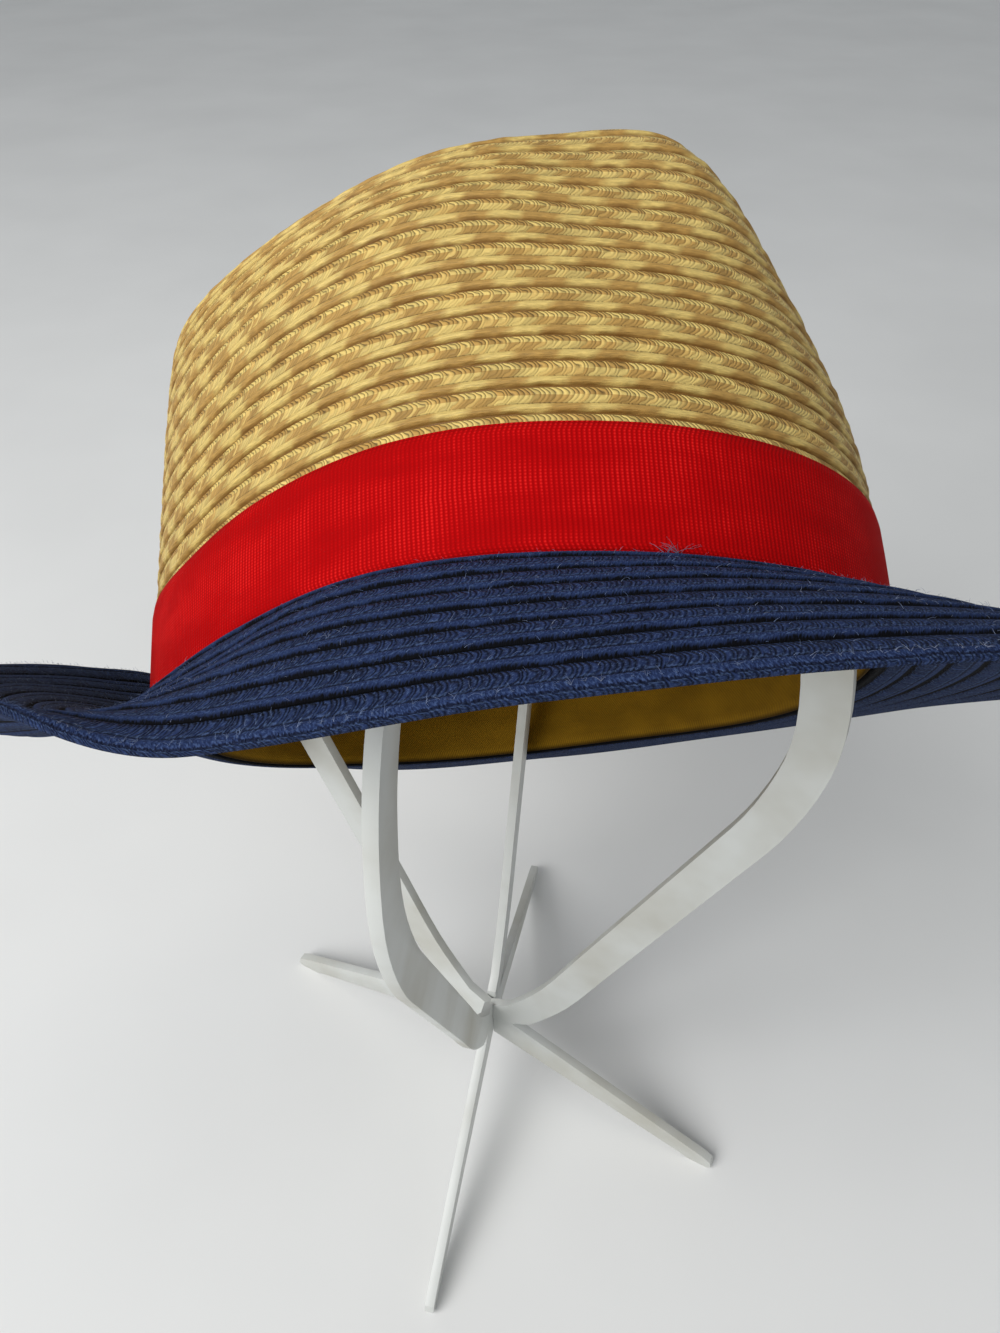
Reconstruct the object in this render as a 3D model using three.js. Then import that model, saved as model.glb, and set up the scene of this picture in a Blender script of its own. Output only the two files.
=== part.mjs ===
import * as THREE from 'three';
import { mergeVertices } from 'three/addons/utils/BufferGeometryUtils.js';

// A straw trilby hooked over a plain display stand. Millimetres, +Z up, the
// viewer of the hat's near side stands towards -Y.

// Hat size: how far the outer oval at the crown's foot reaches from its
// middle. The oval is pulled out of round by hanging.
const OVAL_FRONT = 101.2;
const OVAL_BACK = 103.6;
const OVAL_LEFT = 76.5;
const OVAL_RIGHT = 90;
const STRAW_THICKNESS = 2.0;
const CLOTH_THICKNESS = 0.9;
const SEAM_GAP = 0.3;
const LINING_GAP = 0.5;

// The foot of the crown is not flat: it waves round the oval, lowest by the
// trough in the brim. Degrees from the front, rise over the oval's plane.
const FOOT_STATIONS = [
  { at: 0, rise: -0.2 },
  { at: 10, rise: -0.9 },
  { at: 40, rise: -2.9 },
  { at: 80, rise: -2.5 },
  { at: 130, rise: 2.9 },
  { at: 180, rise: 1.5 },
  { at: 220, rise: -2.9 },
  { at: 250, rise: -3.2 },
  { at: 268, rise: -5.2 },
  { at: 285, rise: -4.8 },
  { at: 302, rise: -0.7 },
  { at: 320, rise: 2.6 },
  { at: 344, rise: 1.6 },
];

const TOP_HEIGHT = 113;
const RIBBON_HEIGHT = 22.6;
const RIBBON_FOOT = 1.0;
const SWEATBAND_HEIGHT = 32;
const SWEATBAND_FOOT = 0.6;
const BRIM_ROLL = 9;

// Where the hat hangs: middle of its oval, tilt back, lean to the left, turn.
const HAT_CENTRE = new THREE.Vector3(9.6, -1.3, 195.8);
const HAT_TILT = 56.4;
const HAT_LEAN = 2.9;
const HAT_TURN = -27;

// Stand: two flat frames of one outline, crossing on the stand's axis.
const FOOT_REACH = 90;
const STRIP_WIDTH = 10.5;
const SHEET_THICKNESS = 3;
const FRAME_A_BEARING = -102.5;
const FRAME_B_BEARING = -27.4;
const WAIST_LOW = 24.5;
const WAIST_HIGH = 41;
const WAIST_HALF = 9.5;
const WAIST_NOTCH = 35.5;
const FOOT_PAD = 9;
const FOOT_HEIGHT = 6.5;

// Crown wall from the foot to the middle of the top: share of the height
// reached, girth as a share of the foot oval, drop below the top edge.
const CROWN_LEVELS = [
  { rise: 0.00, girth: 1.000, drop: 0 },
  { rise: 0.16, girth: 1.000, drop: 0 },
  { rise: 0.32, girth: 0.996, drop: 0 },
  { rise: 0.47, girth: 0.983, drop: 0 },
  { rise: 0.62, girth: 0.960, drop: 0 },
  { rise: 0.78, girth: 0.925, drop: 0 },
  { rise: 0.90, girth: 0.875, drop: 0 },
  { rise: 0.97, girth: 0.815, drop: 0 },
  { rise: 1.00, girth: 0.740, drop: 0 },
  { rise: 1.00, girth: 0.640, drop: 0 },
  { rise: 1.00, girth: 0.480, drop: 1 },
  { rise: 1.00, girth: 0.280, drop: 4 },
  { rise: 1.00, girth: 0.000, drop: 5 },
];

// Crown round the oval: degrees from the front towards the wearer's left,
// height of the top edge, and share of the taper in the levels above.
const CROWN_STATIONS = [
  { at: 0, height: 110, taper: 1.05 },
  { at: 40, height: 103, taper: 1.58 },
  { at: 75, height: 102, taper: 1.55 },
  { at: 120, height: 107, taper: 1.00 },
  { at: 180, height: 109, taper: 0.60 },
  { at: 235, height: 99, taper: 0.05 },
  { at: 265, height: 93, taper: 0.15 },
  { at: 295, height: 94, taper: 0.60 },
  { at: 325, height: 102, taper: 0.95 },
];

// Flats pressed into the crown beside its front edge.
const PINCHES = [
  { at: -13, spread: 14, depth: 6 },
  { at: 34, spread: 22, depth: 5 },
];

// Brim round the oval: width, slope at the crown and slope at the edge,
// minus for hanging down.
const BRIM_STATIONS = [
  { at: 0, width: 51, slope: -27, edge: -36 },
  { at: 35, width: 51, slope: -16, edge: -18 },
  { at: 63, width: 51, slope: -6, edge: -2 },
  { at: 90, width: 51, slope: 5, edge: 7 },
  { at: 150, width: 51, slope: 7, edge: 8 },
  { at: 190, width: 51, slope: 9, edge: 12 },
  { at: 216, width: 51, slope: 36, edge: 46 },
  { at: 232, width: 51, slope: 32, edge: 42 },
  { at: 252, width: 51, slope: 18, edge: 25 },
  { at: 268, width: 51, slope: -6, edge: 22 },
  { at: 285, width: 51, slope: -55, edge: 29 },
  { at: 300, width: 51, slope: -68, edge: 11 },
  { at: 314, width: 51, slope: -39, edge: -47 },
  { at: 335, width: 51, slope: -36, edge: -45 },
];

// Middle line of one arm of a frame, from the waist to the top.
const ARM_STATIONS = [
  { reach: 12.2, height: 43.5 },
  { reach: 25.5, height: 66 },
  { reach: 41.4, height: 104 },
  { reach: 67.0, height: 164.7 },
  { reach: 77.4, height: 191.7 },
  { reach: 81.9, height: 216 },
  { reach: 79.4, height: 239.5 },
  { reach: 73.6, height: 255.5 },
  { reach: 67.5, height: 262.2 },
  { reach: 58.0, height: 265.2 },
  { reach: 40.0, height: 267.2 },
  { reach: 0.0, height: 268 },
];

const COLUMNS = 64;
const radians = THREE.MathUtils.degToRad;

// Cubic through the rows of a table, open or going round a full turn.
function tableAt(rows, key, column, x, turn = 0) {
  const count = rows.length;
  const row = (i) => {
    if (!turn) return rows[Math.min(Math.max(i, 0), count - 1)];
    return rows[((i % count) + count) % count];
  };
  const place = (i) => row(i)[key] + (turn ? turn * Math.floor(i / count) : 0);
  const at = turn ? ((x % turn) + turn) % turn : x;
  let i = 0;
  while (i < count - (turn ? 1 : 2) && place(i + 1) <= at) i += 1;
  const span = place(i + 1) - place(i);
  const t = (at - place(i)) / span;
  const value = (k) => row(k)[column];
  const slope = (k) => {
    const run = place(k + 1) - place(k - 1);
    return run > 0 ? (value(k + 1) - value(k - 1)) / run : 0;
  };
  const [p, q] = [value(i), value(i + 1)];
  const [u, v] = [slope(i) * span, slope(i + 1) * span];
  return p + t * (u + t * (3 * (q - p) - 2 * u - v + t * (2 * (p - q) + u + v)));
}

// The hat's own frame: axis up the crown, front, and the wearer's left.
const hatAxis = new THREE.Vector3(
  -Math.sin(radians(HAT_LEAN)),
  Math.cos(radians(HAT_LEAN)) * Math.sin(radians(HAT_TILT)),
  Math.cos(radians(HAT_LEAN)) * Math.cos(radians(HAT_TILT)),
);
const nearward = new THREE.Vector3(0, -1, 0).projectOnPlane(hatAxis).normalize();
const hatFront = nearward.clone().applyAxisAngle(hatAxis, -radians(HAT_TURN));
const hatSide = new THREE.Vector3().crossVectors(hatAxis, hatFront);
const hatFrame = new THREE.Matrix4()
  .makeBasis(hatFront, hatSide, hatAxis)
  .setPosition(HAT_CENTRE);

const footWave = (turn) => tableAt(FOOT_STATIONS, 'at', 'rise', THREE.MathUtils.radToDeg(turn), 360);

const halfWidth = (turn) => (Math.sin(turn) > 0 ? OVAL_LEFT : OVAL_RIGHT);
const halfLength = (turn) => (Math.cos(turn) > 0 ? OVAL_FRONT : OVAL_BACK);

function pinchAt(turn, rise) {
  const angle = THREE.MathUtils.radToDeg(Math.atan2(Math.sin(turn), Math.cos(turn)));
  const deep = PINCHES
    .map(({ at, spread, depth }) => depth * Math.exp(-(((angle - at) / spread) ** 2)))
    .reduce((sum, part) => sum + part, 0);
  return deep * THREE.MathUtils.smoothstep(rise, 0.3, 0.9);
}

// A point of the crown's outer face: turn round the axis, place along levels.
function crownPoint(turn, place) {
  const rows = CROWN_LEVELS.map((row, index) => ({ ...row, index }));
  const level = (column) => tableAt(rows, 'index', column, place);
  const round = (column) => tableAt(CROWN_STATIONS, 'at', column, THREE.MathUtils.radToDeg(turn), 360);
  const [rise, plain, drop] = [level('rise'), level('girth'), level('drop')];
  const share = THREE.MathUtils.smoothstep(plain, 0.45, 0.8);
  const girth = plain + (1 - plain) * (1 - round('taper')) * share;
  const height = THREE.MathUtils.lerp(TOP_HEIGHT, round('height'), Math.min(1, plain / 0.74));
  const reach = Math.hypot(halfWidth(turn) * Math.sin(turn), halfLength(turn) * Math.cos(turn));
  const pull = girth * (1 - (pinchAt(turn, rise) * Math.min(1, plain / 0.6)) / reach);
  return new THREE.Vector3(
    halfLength(turn) * pull * Math.cos(turn),
    halfWidth(turn) * pull * Math.sin(turn),
    rise * height - drop + footWave(turn) * (1 - rise),
  );
}

function crownNormal(turn, place) {
  const step = 0.01;
  const low = Math.max(0, place - step);
  const high = Math.min(CROWN_LEVELS.length - 1, place + step);
  const round = crownPoint(turn + step, place).sub(crownPoint(turn - step, place));
  const up = crownPoint(turn, high).sub(crownPoint(turn, low));
  if (round.length() < 1e-6) return new THREE.Vector3(0, 0, 1);
  return new THREE.Vector3().crossVectors(round, up).normalize();
}

// Place along the levels where the wall stands at a height over its foot.
function placeAtHeight(turn, height) {
  let [low, high] = [0, 7];
  for (let i = 0; i < 40; i += 1) {
    const middle = (low + high) / 2;
    if (crownPoint(turn, middle).z - footWave(turn) < height) low = middle;
    else high = middle;
  }
  return (low + high) / 2;
}

const wallPoint = (turn, place, out) => crownPoint(turn, place)
  .addScaledVector(crownNormal(turn, place), out);

const turns = Array.from({ length: COLUMNS }, (_, i) => (2 * Math.PI * i) / COLUMNS);
const ringOf = (point) => turns.map((turn) => point(turn));

// Closed solid from rings of points; open lofts end in a single point.
function loft(rings, closed) {
  const corners = [];
  const faces = [];
  const starts = rings.map((ring) => {
    const start = corners.length;
    corners.push(...ring);
    return start;
  });
  const count = closed ? rings.length : rings.length - 1;
  for (let i = 0; i < count; i += 1) {
    const next = (i + 1) % rings.length;
    for (let j = 0; j < COLUMNS; j += 1) {
      const k = (j + 1) % COLUMNS;
      const id = (ring, column) => starts[ring] + (rings[ring].length > 1 ? column : 0);
      if (rings[next].length > 1) faces.push([id(i, j), id(next, j), id(next, k)]);
      if (rings[i].length > 1) faces.push([id(i, j), id(next, k), id(i, k)]);
    }
  }
  let volume = 0;
  for (const [a, b, c] of faces) {
    volume += corners[a].dot(new THREE.Vector3().crossVectors(corners[b], corners[c]));
  }
  const geometry = new THREE.BufferGeometry().setFromPoints(corners);
  geometry.setIndex(faces.flatMap(([a, b, c]) => (volume > 0 ? [a, b, c] : [a, c, b])));
  return geometry.applyMatrix4(hatFrame);
}

function crownGeometry() {
  const top = CROWN_LEVELS.length - 1;
  const places = CROWN_LEVELS.map((_, index) => index).slice(0, top);
  const rings = [[crownPoint(0, top)]];
  for (const place of [...places].reverse()) rings.push(ringOf((turn) => crownPoint(turn, place)));
  rings[rings.length - 1] = ringOf((turn) => crownPoint(turn, 0));
  for (const place of places) {
    rings.push(ringOf((turn) => wallPoint(turn, place, -STRAW_THICKNESS)));
  }
  rings.push([crownPoint(0, top).add(new THREE.Vector3(0, 0, -STRAW_THICKNESS))]);
  return loft(rings, false);
}

// A band of cloth against the wall, between two distances out from its face.
function bandGeometry(foot, height, inside, outside) {
  const heights = [0, 0.5, 1].map((share) => foot + share * height);
  const face = (level, out) => ringOf((turn) => wallPoint(turn, placeAtHeight(turn, level), out));
  const outer = heights.map((level) => face(level, outside));
  const inner = heights.map((level) => face(level, inside)).reverse();
  return loft([...outer, ...inner], true);
}

function brimGeometry() {
  const shares = [0, 0.06, 0.13, 0.22, 0.4, 0.6, 0.8, 1];
  const line = (turn) => {
    const degrees = THREE.MathUtils.radToDeg(turn);
    const at = (column) => tableAt(BRIM_STATIONS, 'at', column, degrees, 360);
    const out = new THREE.Vector3(
      Math.cos(turn) / halfLength(turn),
      Math.sin(turn) / halfWidth(turn),
      0,
    ).normalize();
    const place = wallPoint(turn, 0, -STRAW_THICKNESS);
    place.z = footWave(turn) - SEAM_GAP;
    const full = at('width') + STRAW_THICKNESS;
    const rows = [];
    const steps = 60;
    let next = 0;
    for (let i = 0; i <= steps; i += 1) {
      const share = i / steps;
      const bend = THREE.MathUtils.smoothstep(share * full, STRAW_THICKNESS, BRIM_ROLL);
      const slope = radians(bend * THREE.MathUtils.lerp(at('slope'), at('edge'), share));
      if (next < shares.length && share >= shares[next] - 1e-6) {
        const under = new THREE.Vector3(0, 0, -Math.cos(slope)).addScaledVector(out, Math.sin(slope));
        rows.push([place.clone(), place.clone().addScaledVector(under, STRAW_THICKNESS)]);
        next += 1;
      }
      place.addScaledVector(out, (Math.cos(slope) * full) / steps);
      place.z += (Math.sin(slope) * full) / steps;
    }
    return rows;
  };
  const lines = turns.map(line);
  const ring = (row, face) => lines.map((rows) => rows[row][face]);
  const upper = shares.map((_, row) => ring(row, 0));
  const lower = shares.map((_, row) => ring(row, 1)).reverse();
  return loft([...upper, ...lower], true);
}

// One frame: legs below the waist, a closed loop above it, halving slots cut
// from above in one frame and from below in the other.
function frameGeometry(bearing, slotsFromAbove) {
  const curve = new THREE.SplineCurve(
    ARM_STATIONS.map(({ reach, height }) => new THREE.Vector2(reach, height)),
  );
  const edge = (side) => Array.from({ length: 45 }, (_, i) => {
    const share = i / 44;
    const along = curve.getTangent(share);
    if (i === 44) along.set(-1, 0);
    return curve.getPoint(share).add(
      new THREE.Vector2(along.y, -along.x).multiplyScalar((side * STRIP_WIDTH) / 2),
    );
  });
  const cross = radians(FRAME_B_BEARING - FRAME_A_BEARING);
  const slot = (SHEET_THICKNESS * (1 + Math.cos(cross))) / Math.sin(cross) / 2 + SEAM_GAP;
  const topMiddle = ARM_STATIONS[ARM_STATIONS.length - 1].height;
  const waistMiddle = (WAIST_LOW + WAIST_HIGH) / 2;
  const half = SEAM_GAP / 2;
  const notch = (open, floor) => [new THREE.Vector2(slot, open), new THREE.Vector2(slot, floor)];

  const legFoot = [
    new THREE.Vector2(FOOT_REACH - FOOT_PAD - 2, 1.2),
    new THREE.Vector2(FOOT_REACH - FOOT_PAD, 0),
    new THREE.Vector2(FOOT_REACH - 1.5, 0),
    new THREE.Vector2(FOOT_REACH, 1.5),
    new THREE.Vector2(FOOT_REACH - 0.8, FOOT_HEIGHT - 2),
    new THREE.Vector2(FOOT_REACH - 4, FOOT_HEIGHT),
    new THREE.Vector2(WAIST_HALF, WAIST_NOTCH),
  ];
  const outer = edge(1).slice(0, -1);
  const inner = edge(-1).slice(0, -1);
  const topHigh = topMiddle + STRIP_WIDTH / 2;
  const topLow = topMiddle - STRIP_WIDTH / 2;
  const legSlope = WAIST_LOW / (FOOT_REACH - FOOT_PAD - 2);

  const rightOuter = [
    ...(slotsFromAbove ? [] : [
      new THREE.Vector2(slot, waistMiddle + half),
      new THREE.Vector2(slot, WAIST_LOW - slot * legSlope),
    ]),
    ...legFoot,
    ...outer,
    ...(slotsFromAbove ? notch(topHigh - 0.02, topMiddle - half) : []),
  ];
  const rightInner = [
    ...(slotsFromAbove ? [new THREE.Vector2(slot, waistMiddle - half), new THREE.Vector2(slot, WAIST_HIGH + 3)] : []),
    ...inner,
    ...(slotsFromAbove ? [] : notch(topLow + 0.02, topMiddle + half)),
  ];
  const mirrored = (points) => points.map(({ x, y }) => new THREE.Vector2(-x, y)).reverse();
  const middle = (height) => [new THREE.Vector2(0, height)];
  const shape = new THREE.Shape([
    ...(slotsFromAbove ? middle(WAIST_LOW) : []),
    ...rightOuter,
    ...(slotsFromAbove ? [] : middle(topHigh)),
    ...mirrored(rightOuter),
  ]);
  shape.holes.push(new THREE.Path([
    ...(slotsFromAbove ? [] : middle(WAIST_HIGH)),
    ...rightInner,
    ...(slotsFromAbove ? middle(topLow) : []),
    ...mirrored(rightInner),
  ].reverse()));
  const geometry = new THREE.ExtrudeGeometry(shape, { depth: SHEET_THICKNESS, bevelEnabled: false });
  const out = new THREE.Vector3(Math.cos(radians(bearing)), Math.sin(radians(bearing)), 0);
  const up = new THREE.Vector3(0, 0, 1);
  const across = new THREE.Vector3().crossVectors(out, up);
  return geometry
    .translate(0, 0, -SHEET_THICKNESS / 2)
    .applyMatrix4(new THREE.Matrix4().makeBasis(out, up, across));
}

const finish = (color, roughness) => new THREE.MeshStandardMaterial({ color, roughness, metalness: 0 });
const straw = finish('#c4a46c', 0.75);
const navyStraw = finish('#252d46', 0.8);
const redRibbon = finish('#a30b12', 0.85);
const bandCloth = finish('#a58447', 0.9);
const whitePlastic = finish('#dcdcd7', 0.45);

const pieces = [
  ['crown', crownGeometry(), straw],
  ['brim', brimGeometry(), navyStraw],
  ['ribbon', bandGeometry(RIBBON_FOOT, RIBBON_HEIGHT, SEAM_GAP, SEAM_GAP + CLOTH_THICKNESS), redRibbon],
  ['sweatband', bandGeometry(
    SWEATBAND_FOOT,
    SWEATBAND_HEIGHT,
    -STRAW_THICKNESS - LINING_GAP - CLOTH_THICKNESS,
    -STRAW_THICKNESS - LINING_GAP,
  ), bandCloth],
  ['stand_frame_a', frameGeometry(FRAME_A_BEARING, true), whitePlastic],
  ['stand_frame_b', frameGeometry(FRAME_B_BEARING, false), whitePlastic],
];

// Bare positions with shared corners, moved so the foot of the whole stands
// on Z = 0 with its plan centred on the origin.
const bare = pieces.map(([name, geometry, material]) => {
  geometry.deleteAttribute('normal');
  geometry.deleteAttribute('uv');
  const merged = mergeVertices(geometry, 1e-4);
  merged.computeBoundingBox();
  return { name, geometry: merged, material };
});
const whole = bare.reduce((box, { geometry }) => box.union(geometry.boundingBox), new THREE.Box3());
const centre = whole.getCenter(new THREE.Vector3());

const group = new THREE.Group();
group.name = 'straw_trilby_on_stand';
for (const { name, geometry, material } of bare) {
  geometry.translate(-centre.x, -centre.y, -whole.min.z);
  geometry.computeVertexNormals();
  const mesh = new THREE.Mesh(geometry, material);
  mesh.name = name;
  group.add(mesh);
}

export default group;
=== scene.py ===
import math

import bmesh
import bpy
import numpy as np
from bpy.props import FloatProperty, FloatVectorProperty, IntProperty, PointerProperty
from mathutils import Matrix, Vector


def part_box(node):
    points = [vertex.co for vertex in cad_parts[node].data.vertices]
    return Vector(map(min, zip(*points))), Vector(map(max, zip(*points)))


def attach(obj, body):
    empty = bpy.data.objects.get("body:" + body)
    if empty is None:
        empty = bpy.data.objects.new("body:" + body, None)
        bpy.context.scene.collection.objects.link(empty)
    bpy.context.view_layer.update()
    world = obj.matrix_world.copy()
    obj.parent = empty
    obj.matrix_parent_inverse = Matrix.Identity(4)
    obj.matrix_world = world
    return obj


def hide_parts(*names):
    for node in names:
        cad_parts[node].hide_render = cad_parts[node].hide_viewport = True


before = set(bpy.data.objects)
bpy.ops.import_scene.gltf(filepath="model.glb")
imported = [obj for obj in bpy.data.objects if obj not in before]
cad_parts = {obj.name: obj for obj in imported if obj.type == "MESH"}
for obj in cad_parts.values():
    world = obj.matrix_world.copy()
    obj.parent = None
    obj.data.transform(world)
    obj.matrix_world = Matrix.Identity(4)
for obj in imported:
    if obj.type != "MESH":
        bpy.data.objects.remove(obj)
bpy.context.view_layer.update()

bl_info = {
    "name": "Straw trilby on a display stand",
    "version": (1, 0, 0),
    "blender": (4, 5, 0),
    "location": "3D View > Sidebar > Trilby",
    "description": "Sewn straw braid hat with a ribbon, hooked over a white stand",
    "category": "Add Mesh",
}

MM = 0.001
SEED = 41

# The hat's own frame, in millimetres from the stand's axis at the floor.
HAT_CENTRE = (9.6, -1.3, 195.8)
HAT_TILT, HAT_LEAN, HAT_TURN = 56.4, 2.9, -27.0
OVAL_FRONT, OVAL_BACK, OVAL_LEFT, OVAL_RIGHT = 101.2, 103.6, 76.5, 90.0
TOP_HEIGHT = 113.0
STRAW, CLOTH, SEAM, LINING = 2.0, 0.9, 0.3, 0.5
RIBBON_FOOT, RIBBON_HEIGHT = 0.0, 23.6
RIBBON_TOP = RIBBON_FOOT + RIBBON_HEIGHT
BAND_FOOT, BAND_HEIGHT = -1.9, 34.5
# The cut edges of both bands are rounded off by this much, over this width.
CUT_ROUND, CUT_WIDTH = 0.25, 0.8
BRIM_WIDTH, BRIM_ROLL = 51.0, 9.0
# The brim's inner edge, out from the inside of the wall it is sewn under.
BRIM_START = 0.1
# The outermost row is stretched towards the edge by this factor.
EDGE_STRETCH = 1.12
# The rows beside the crown are pressed flat, less and less between these distances.
BRIM_PRESSED = (3.5, 8.0)
# Rows stop this far from the brim's inner edge, and from its outer edge above and below.
INNER_MARGIN, FACE_MARGIN, UNDER_MARGIN = 0.4, 0.3, 0.6
# How far the foot of the crown is sewn down into the brim, and the start of its coil.
FOOT_SINK, BUTTON = 0.7, 2.0
# Where the braid rows are counted, from where they widen, how high up the wall they keep
# an even distance from the foot, and where the wall turns over into the top.
FRONT_TURN = math.radians(-12)
WIDEN_HEIGHT, EVEN_HEIGHT, SHOULDER = 20.0, 70.0, 108.0

# Crown from the foot to the middle of the top: rise, girth, drop.
CROWN_LEVELS = np.array([
    (0.00, 1.000, 0), (0.16, 1.000, 0), (0.32, 0.996, 0), (0.47, 0.983, 0),
    (0.62, 0.960, 0), (0.78, 0.925, 0), (0.90, 0.875, 0), (0.97, 0.815, 0),
    (1.00, 0.740, 0), (1.00, 0.640, 0), (1.00, 0.480, 1), (1.00, 0.280, 4),
    (1.00, 0.000, 5),
])
# The wall goes up to this one of the levels, counted from 0.
WALL_LEVEL = 7.0
# Crown round the oval: degrees from the front, height of the top edge, taper.
CROWN_STATIONS = np.array([
    (0, 110, 1.05), (40, 103, 1.58), (75, 102, 1.55), (120, 107, 1.00), (180, 109, 0.60),
    (235, 99, 0.05), (265, 93, 0.15), (295, 94, 0.60), (325, 102, 0.95),
])
# Flats beside the front edge: degrees, spread, depth.
PINCHES = ((-13, 14, 6), (34, 22, 5))
# They deepen over these shares of the rise, and fade inside this girth of the top.
PINCH_RISE, PINCH_GIRTH = (0.3, 0.9), 0.6
# The taper comes in over these girths, and the top edge lies at this one.
TAPER_GIRTH, EDGE_GIRTH = (0.45, 0.8), 0.74
# Foot of the crown round the oval: degrees, rise over the oval's plane.
FOOT_STATIONS = np.array([
    (0, -0.2), (10, -0.9), (40, -2.9), (80, -2.5), (130, 2.9), (180, 1.5), (220, -2.9),
    (250, -3.2), (268, -5.2), (285, -4.8), (302, -0.7), (320, 2.6), (344, 1.6),
])
# Brim round the oval: degrees, slope at the crown, slope at the edge.
BRIM_STATIONS = np.array([
    (0, -27, -36), (35, -16, -18), (63, -6, -2), (90, 5, 7), (150, 7, 8), (190, 9, 12),
    (216, 36, 46), (232, 32, 42), (252, 18, 25), (268, -6, 22), (285, -55, 29),
    (300, -68, 11), (314, -39, -47), (335, -36, -45),
])

# One row of braid from its tucked upper edge to its rolled lower edge: share
# of the row, and millimetres out from the wall.
CROWN_PROFILE = (
    (0.00, -0.80), (0.04, -0.45), (0.10, 0.00), (0.32, 0.20), (0.54, 0.14), (0.65, 0.00),
    (0.71, 0.24), (0.78, 0.44), (0.86, 0.40), (0.92, 0.05), (0.96, -0.50),
)
BRIM_PROFILE = (
    (0.00, -1.00), (0.05, -0.70), (0.10, -0.05), (0.32, 0.16), (0.54, 0.10), (0.62, -0.02),
    (0.69, 0.22), (0.78, 0.34), (0.87, 0.22), (0.94, -0.50),
)
# The rolled cord starts at this share of a row. Under the ribbon only a share of the relief
# is left; it comes back from just below the ribbon's upper edge to just above it.
ROLL_START = 0.65
PRESSED_RELIEF, PRESSED_BELOW, PRESSED_ABOVE = 0.3, 5, 1
# Plain inside of a crown row, and underside of a brim row: share, millimetres out.
CROWN_INSIDE = ((0.9, -0.15), (0.45, 0.1))
BRIM_UNDERSIDE = ((0.9, -0.1), (0.75, 0.22), (0.45, 0.1), (0.2, 0.15), (0.03, -0.25))
# Round the brim's edge: share of the row, reach outward, drop.
BRIM_EDGE = ((0.60, 0.25, -0.4), (0.42, 0.35, -1.0), (0.25, 0.05, -1.6))
# The sewn face lies this deep in the plain wall; the inside, its rim and the tip stand off it.
FACE_INSET, INSIDE_LIFT, RIM_LIFT, TIP_LIFT = 0.1, 0.25, 0.2, 0.1
RIM_SHARES = (0.98, 0.98, 0.97)
CROWN_COLUMNS, TOP_COLUMNS, BRIM_COLUMNS, BAND_COLUMNS = 384, 320, 480, 512

# Unevenness: number of the draw, size as a share of the row or in millimetres.
CROWN_DRIFT, CROWN_SWELL, CROWN_KNOTS = (0, 0.035), (300, 0.14), (600, 0.12)
BRIM_DRIFT, BRIM_SWELL, UNDER_SWELL = (40, 0.06), (340, 0.16), (640, 0.1)
BAND_RIPPLE, BAND_DRIFT = 900, (950, 0.3)
# Waves of it in one turn.
ROW_WAVES, KNOT_WAVES, BAND_WAVES = (3, 5, 8, 13), (31, 47, 71, 90), (4, 7, 11, 17)

# Hairs: count, from and to out along the brim, columns of spread, reach, thickness.
HAIRS = (
    (2600, 7.0, 52.0, None, (0.3, 1.2), (0.025, 0.04)),
    (1800, 52.0, 53.0, None, (0.3, 1.2), (0.025, 0.04)),
    (30, 2.4, 4.0, 1, (1.5, 4.5), (0.04, 0.07)),
)
# Their roots over the face, lean away from it, bend, arch and taper; degrees to the tuft.
HAIR_LIFT, HAIR_LEAN, HAIR_BEND, HAIR_ARCH, HAIR_TAPER = 0.25, (0.05, 0.6), 0.4, 0.4, 0.7
TUFT_TURN = -11.5

# Stand frames: metres between merged corners; degrees of edges dissolved, rounded, kept sharp.
MERGE, FLAT_ANGLE, ROUND_ANGLE, SHARP_ANGLE = 1e-6, 0.5, 60, 35

# The stage: where the eye stands from the stand's axis, how far it looks down, and its focal
# length in pixels of a picture this high. The lights aim at a height on the hat's own axis.
EYE, EYE_DOWN, FOCAL_PIXELS, PICTURE_HEIGHT = (3.6, -187.2, 376.2), 42.3, 1000, 1333
SENSOR, FLOOR_HALF, AIM_HEIGHT = 36.0, 4.0, 30.0
ROOM_COLOUR, ROOM_STRENGTH = "#e6eaee", 0.48
LIGHTS = (
    ("window", 26.0, 1.2, (-0.95, -0.75, 1.2)),
    ("fill", 1.2, 1.4, (1.1, -0.9, 0.9)),
)


def linear(hex_colour):
    """An sRGB hex colour as linear red, green, blue and alpha."""
    parts = [int(hex_colour[i:i + 2], 16) / 255 for i in (1, 3, 5)]
    return [c / 12.92 if c <= 0.04045 else ((c + 0.055) / 1.055) ** 2.4 for c in parts] + [1.0]


def colour(hex_colour, name, description):
    """A colour that a user may change."""
    return FloatVectorProperty(
        name=name, description=description, subtype="COLOR", size=4, min=0, max=1,
        default=linear(hex_colour))


def length(millimetres, name, description):
    """A size that a user may change."""
    return FloatProperty(
        name=name, description=description, subtype="DISTANCE", unit="LENGTH",
        default=millimetres * MM, precision=5)


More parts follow.
